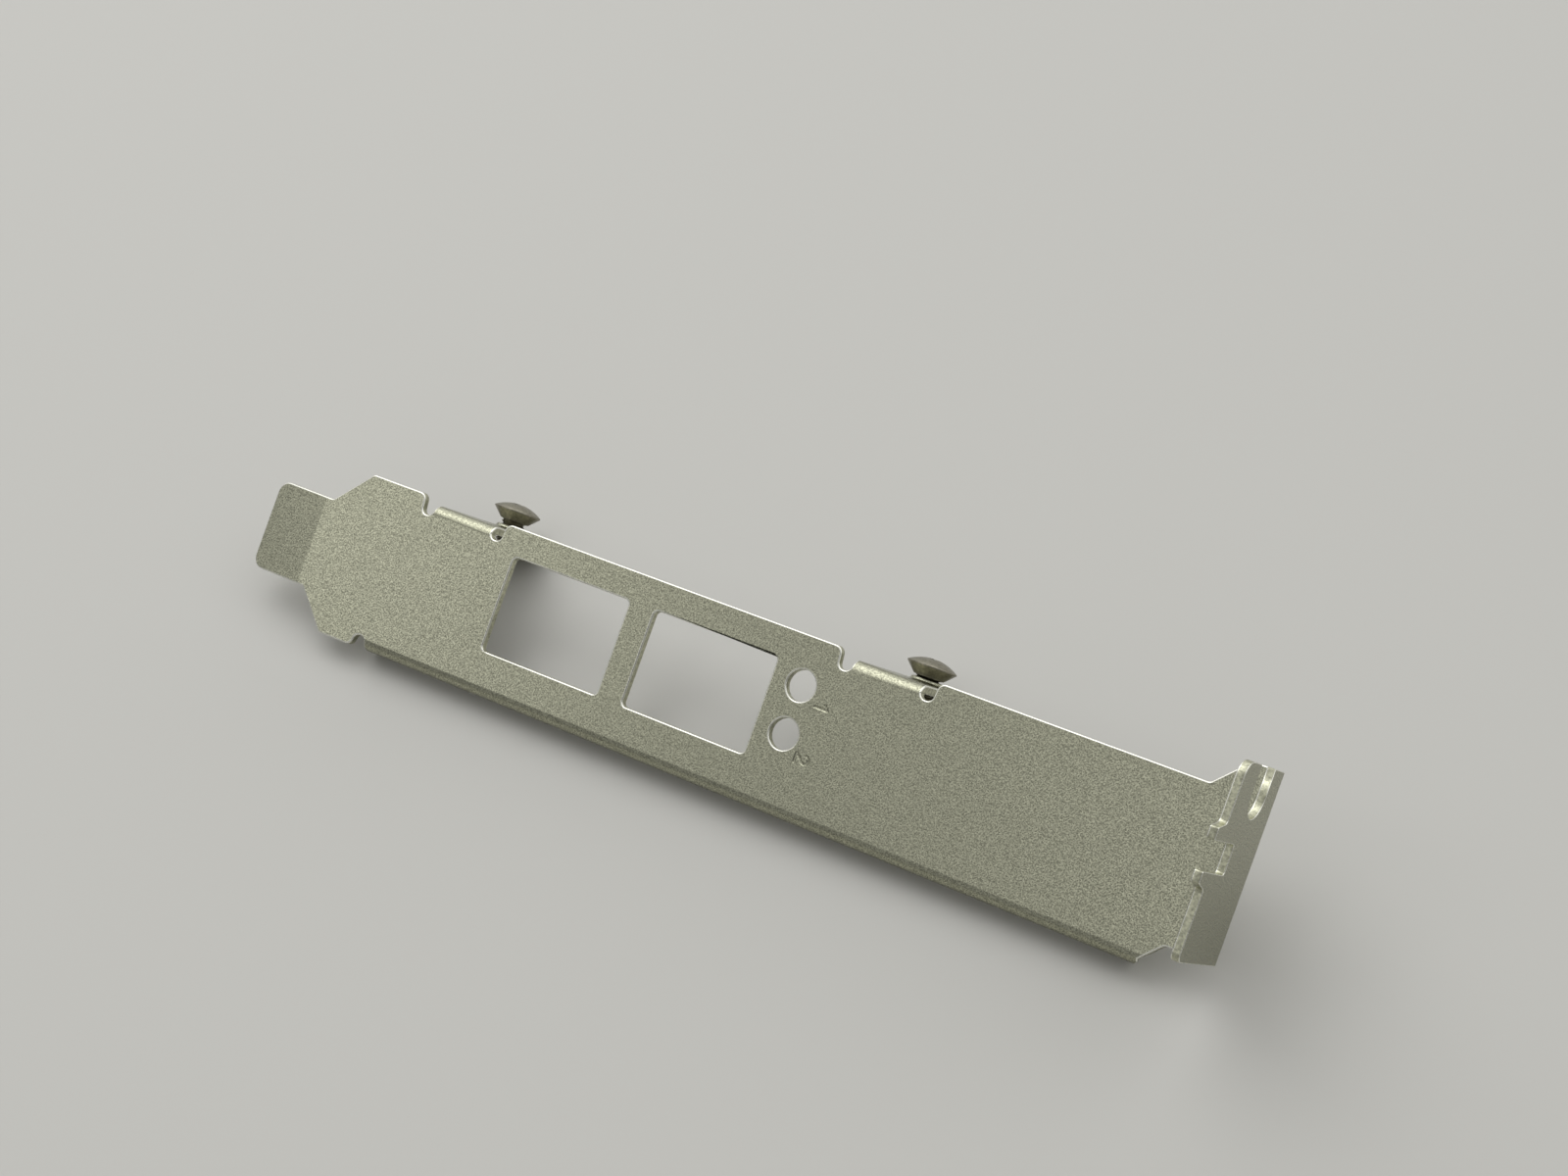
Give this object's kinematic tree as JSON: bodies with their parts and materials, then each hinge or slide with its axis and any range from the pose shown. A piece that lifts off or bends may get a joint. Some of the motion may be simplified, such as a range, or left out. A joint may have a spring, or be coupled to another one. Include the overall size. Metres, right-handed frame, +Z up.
{
  "type": "expansion slot bracket",
  "caption": "Folded steel expansion-slot bracket with port openings, indicator holes, a stiffening lip, a tongue, board tabs with their card screws, and a slotted mounting flange.",
  "frame": {"origin": "on the table, under the middle of the part's bounding box", "axes": "+X along the bracket from its tongue to its flange, +Y across it from the lipped edge to the tabbed edge, +Z up from the table. The part is stored as it lies, outer face up, on the edge of its lip and the ends of its two board tabs, so its plate leans by 31.3 degrees about X."},
  "size_m": [0.12, 0.0268, 0.0229],
  "materials": {
    "plated_sheet": "matt plated, fine pebbled grain, bright rounded cut edges",
    "card_screw": "dull grey plated head, bright thread"
  },
  "bodies": {
    "root": {"bracket": "plated_sheet", "card_screw_1": "card_screw", "card_screw_2": "card_screw"}
  },
  "joints": []
}
